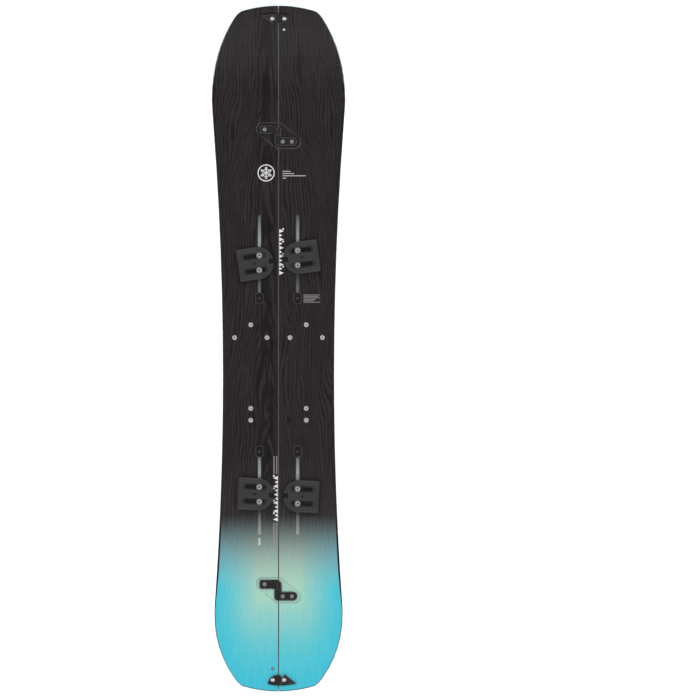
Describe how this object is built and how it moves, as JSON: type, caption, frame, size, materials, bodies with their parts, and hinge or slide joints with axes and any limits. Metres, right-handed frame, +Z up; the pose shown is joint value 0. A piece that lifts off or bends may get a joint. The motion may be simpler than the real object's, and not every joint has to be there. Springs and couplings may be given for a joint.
{
  "type": "splitboard",
  "caption": "Snowboard that parts lengthwise into two touring skis, held by hooks and swinging end clips, with sliding D-shaped binding pucks on channels and turned-up ends.",
  "frame": {"origin": "on the floor under the board, at mid-length, on the seam between the two halves", "axes": "+Y along the board towards the nose, +Z up out of the topsheet, +X to the right seen from above with the nose ahead"},
  "size_m": [0.3042, 1.56, 0.0551],
  "materials": {
    "base": "sintered polyethylene, waxed",
    "topsheet": "satin lacquered print",
    "laminate": "glass fibre in resin",
    "core": "raw poplar strips",
    "sidewall": "milled ABS",
    "seam_wall": "milled ABS",
    "edge": "ground steel",
    "channel": "anodised",
    "hardware": "zinc plated",
    "clip": "moulded glass-filled nylon",
    "puck": "moulded glass-filled nylon"
  },
  "bodies": {
    "left_half": {"left_base_sheet": "base", "left_outer_edge": "edge", "left_inner_edge": "edge", "left_lower_laminate": "laminate", "left_core": "core", "left_outer_sidewall": "sidewall", "left_inner_sidewall": "seam_wall", "left_upper_laminate": "laminate", "left_topsheet": "topsheet", "left_touring_inserts": "hardware", "left_heel_inserts": "hardware", "left_front_channel": "channel", "left_rear_channel": "channel", "left_front_hook": "clip", "left_rear_hook": "clip", "nose_clip_catch": "clip", "nose_clip_post": "hardware", "tail_clip_rivet": "hardware", "tail_clip_stud": "hardware"},
    "right_half": {"right_base_sheet": "base", "right_outer_edge": "edge", "right_inner_edge": "edge", "right_lower_laminate": "laminate", "right_core": "core", "right_outer_sidewall": "sidewall", "right_inner_sidewall": "seam_wall", "right_upper_laminate": "laminate", "right_topsheet": "topsheet", "right_touring_inserts": "hardware", "right_heel_inserts": "hardware", "right_front_channel": "channel", "right_rear_channel": "channel", "right_front_hook": "clip", "right_rear_hook": "clip", "tail_clip_catch": "clip", "tail_clip_post": "hardware", "nose_clip_rivet": "hardware", "nose_clip_stud": "hardware"},
    "nose_lever": {"nose_clip_lever": "clip"},
    "tail_lever": {"tail_clip_lever": "clip"},
    "left_front_carriage": {"left_front_nut_strip": "hardware", "left_front_screw_fore": "hardware", "left_front_screw_aft": "hardware"},
    "left_front_puck": {"left_front_puck": "puck"},
    "right_front_carriage": {"right_front_nut_strip": "hardware", "right_front_screw_fore": "hardware", "right_front_screw_aft": "hardware"},
    "right_front_puck": {"right_front_puck": "puck"},
    "left_rear_carriage": {"left_rear_nut_strip": "hardware", "left_rear_screw_fore": "hardware", "left_rear_screw_aft": "hardware"},
    "left_rear_puck": {"left_rear_puck": "puck"},
    "right_rear_carriage": {"right_rear_nut_strip": "hardware", "right_rear_screw_fore": "hardware", "right_rear_screw_aft": "hardware"},
    "right_rear_puck": {"right_rear_puck": "puck"},
    "left_front_plug": {"left_front_plug": "clip"},
    "left_rear_plug": {"left_rear_plug": "clip"},
    "right_front_plug": {"right_front_plug": "clip"},
    "right_rear_plug": {"right_rear_plug": "clip"}
  },
  "joints": [
    {"name": "split_slide", "type": "slide", "parent": "left_half", "child": "right_half", "axis": [0.7071, -0.7071, 0], "range_m": [0, 0.15]},
    {"name": "nose_lever_hinge", "type": "hinge", "parent": "right_half", "child": "nose_lever", "pos_m": [0.0137, 0.7524, 0.0442], "axis": [0, -0.3704, 0.9289], "range_deg": [0, 90]},
    {"name": "tail_lever_hinge", "type": "hinge", "parent": "left_half", "child": "tail_lever", "pos_m": [-0.013, -0.7557, 0.0283], "axis": [0, 0.2753, 0.9614], "range_deg": [0, 90]},
    {"name": "left_front_stance", "type": "slide", "parent": "left_half", "child": "left_front_carriage", "axis": [0, 1, 0], "range_m": [-0.0276, 0.0879]},
    {"name": "left_front_angle", "type": "hinge", "parent": "left_front_carriage", "child": "left_front_puck", "pos_m": [-0.0436, 0.1956, 0.0085], "axis": [0, 0, 1], "range_deg": [-23.5, 6.5]},
    {"name": "right_front_stance", "type": "slide", "parent": "right_half", "child": "right_front_carriage", "axis": [0, 1, 0], "range_m": [-0.039, 0.0765]},
    {"name": "right_front_angle", "type": "hinge", "parent": "right_front_carriage", "child": "right_front_puck", "pos_m": [0.0436, 0.207, 0.0085], "axis": [0, 0, 1], "range_deg": [-22.5, 7.5]},
    {"name": "left_rear_stance", "type": "slide", "parent": "left_half", "child": "left_rear_carriage", "axis": [0, 1, 0], "range_m": [-0.073, 0.044]},
    {"name": "left_rear_angle", "type": "hinge", "parent": "left_rear_carriage", "child": "left_rear_puck", "pos_m": [-0.0436, -0.332, 0.0085], "axis": [0, 0, 1], "range_deg": [-12, 18]},
    {"name": "right_rear_stance", "type": "slide", "parent": "right_half", "child": "right_rear_carriage", "axis": [0, 1, 0], "range_m": [-0.0687, 0.0483]},
    {"name": "right_rear_angle", "type": "hinge", "parent": "right_rear_carriage", "child": "right_rear_puck", "pos_m": [0.0436, -0.3363, 0.0085], "axis": [0, 0, 1], "range_deg": [-12.5, 17.5]},
    {"name": "left_front_plug_lift", "type": "slide", "parent": "left_half", "child": "left_front_plug", "axis": [0, 0, 1], "range_m": [0, 0.015]},
    {"name": "left_rear_plug_lift", "type": "slide", "parent": "left_half", "child": "left_rear_plug", "axis": [0, 0, 1], "range_m": [0, 0.015]},
    {"name": "right_front_plug_lift", "type": "slide", "parent": "right_half", "child": "right_front_plug", "axis": [0, 0, 1], "range_m": [0, 0.015]},
    {"name": "right_rear_plug_lift", "type": "slide", "parent": "right_half", "child": "right_rear_plug", "axis": [0, 0, 1], "range_m": [0, 0.015]}
  ]
}
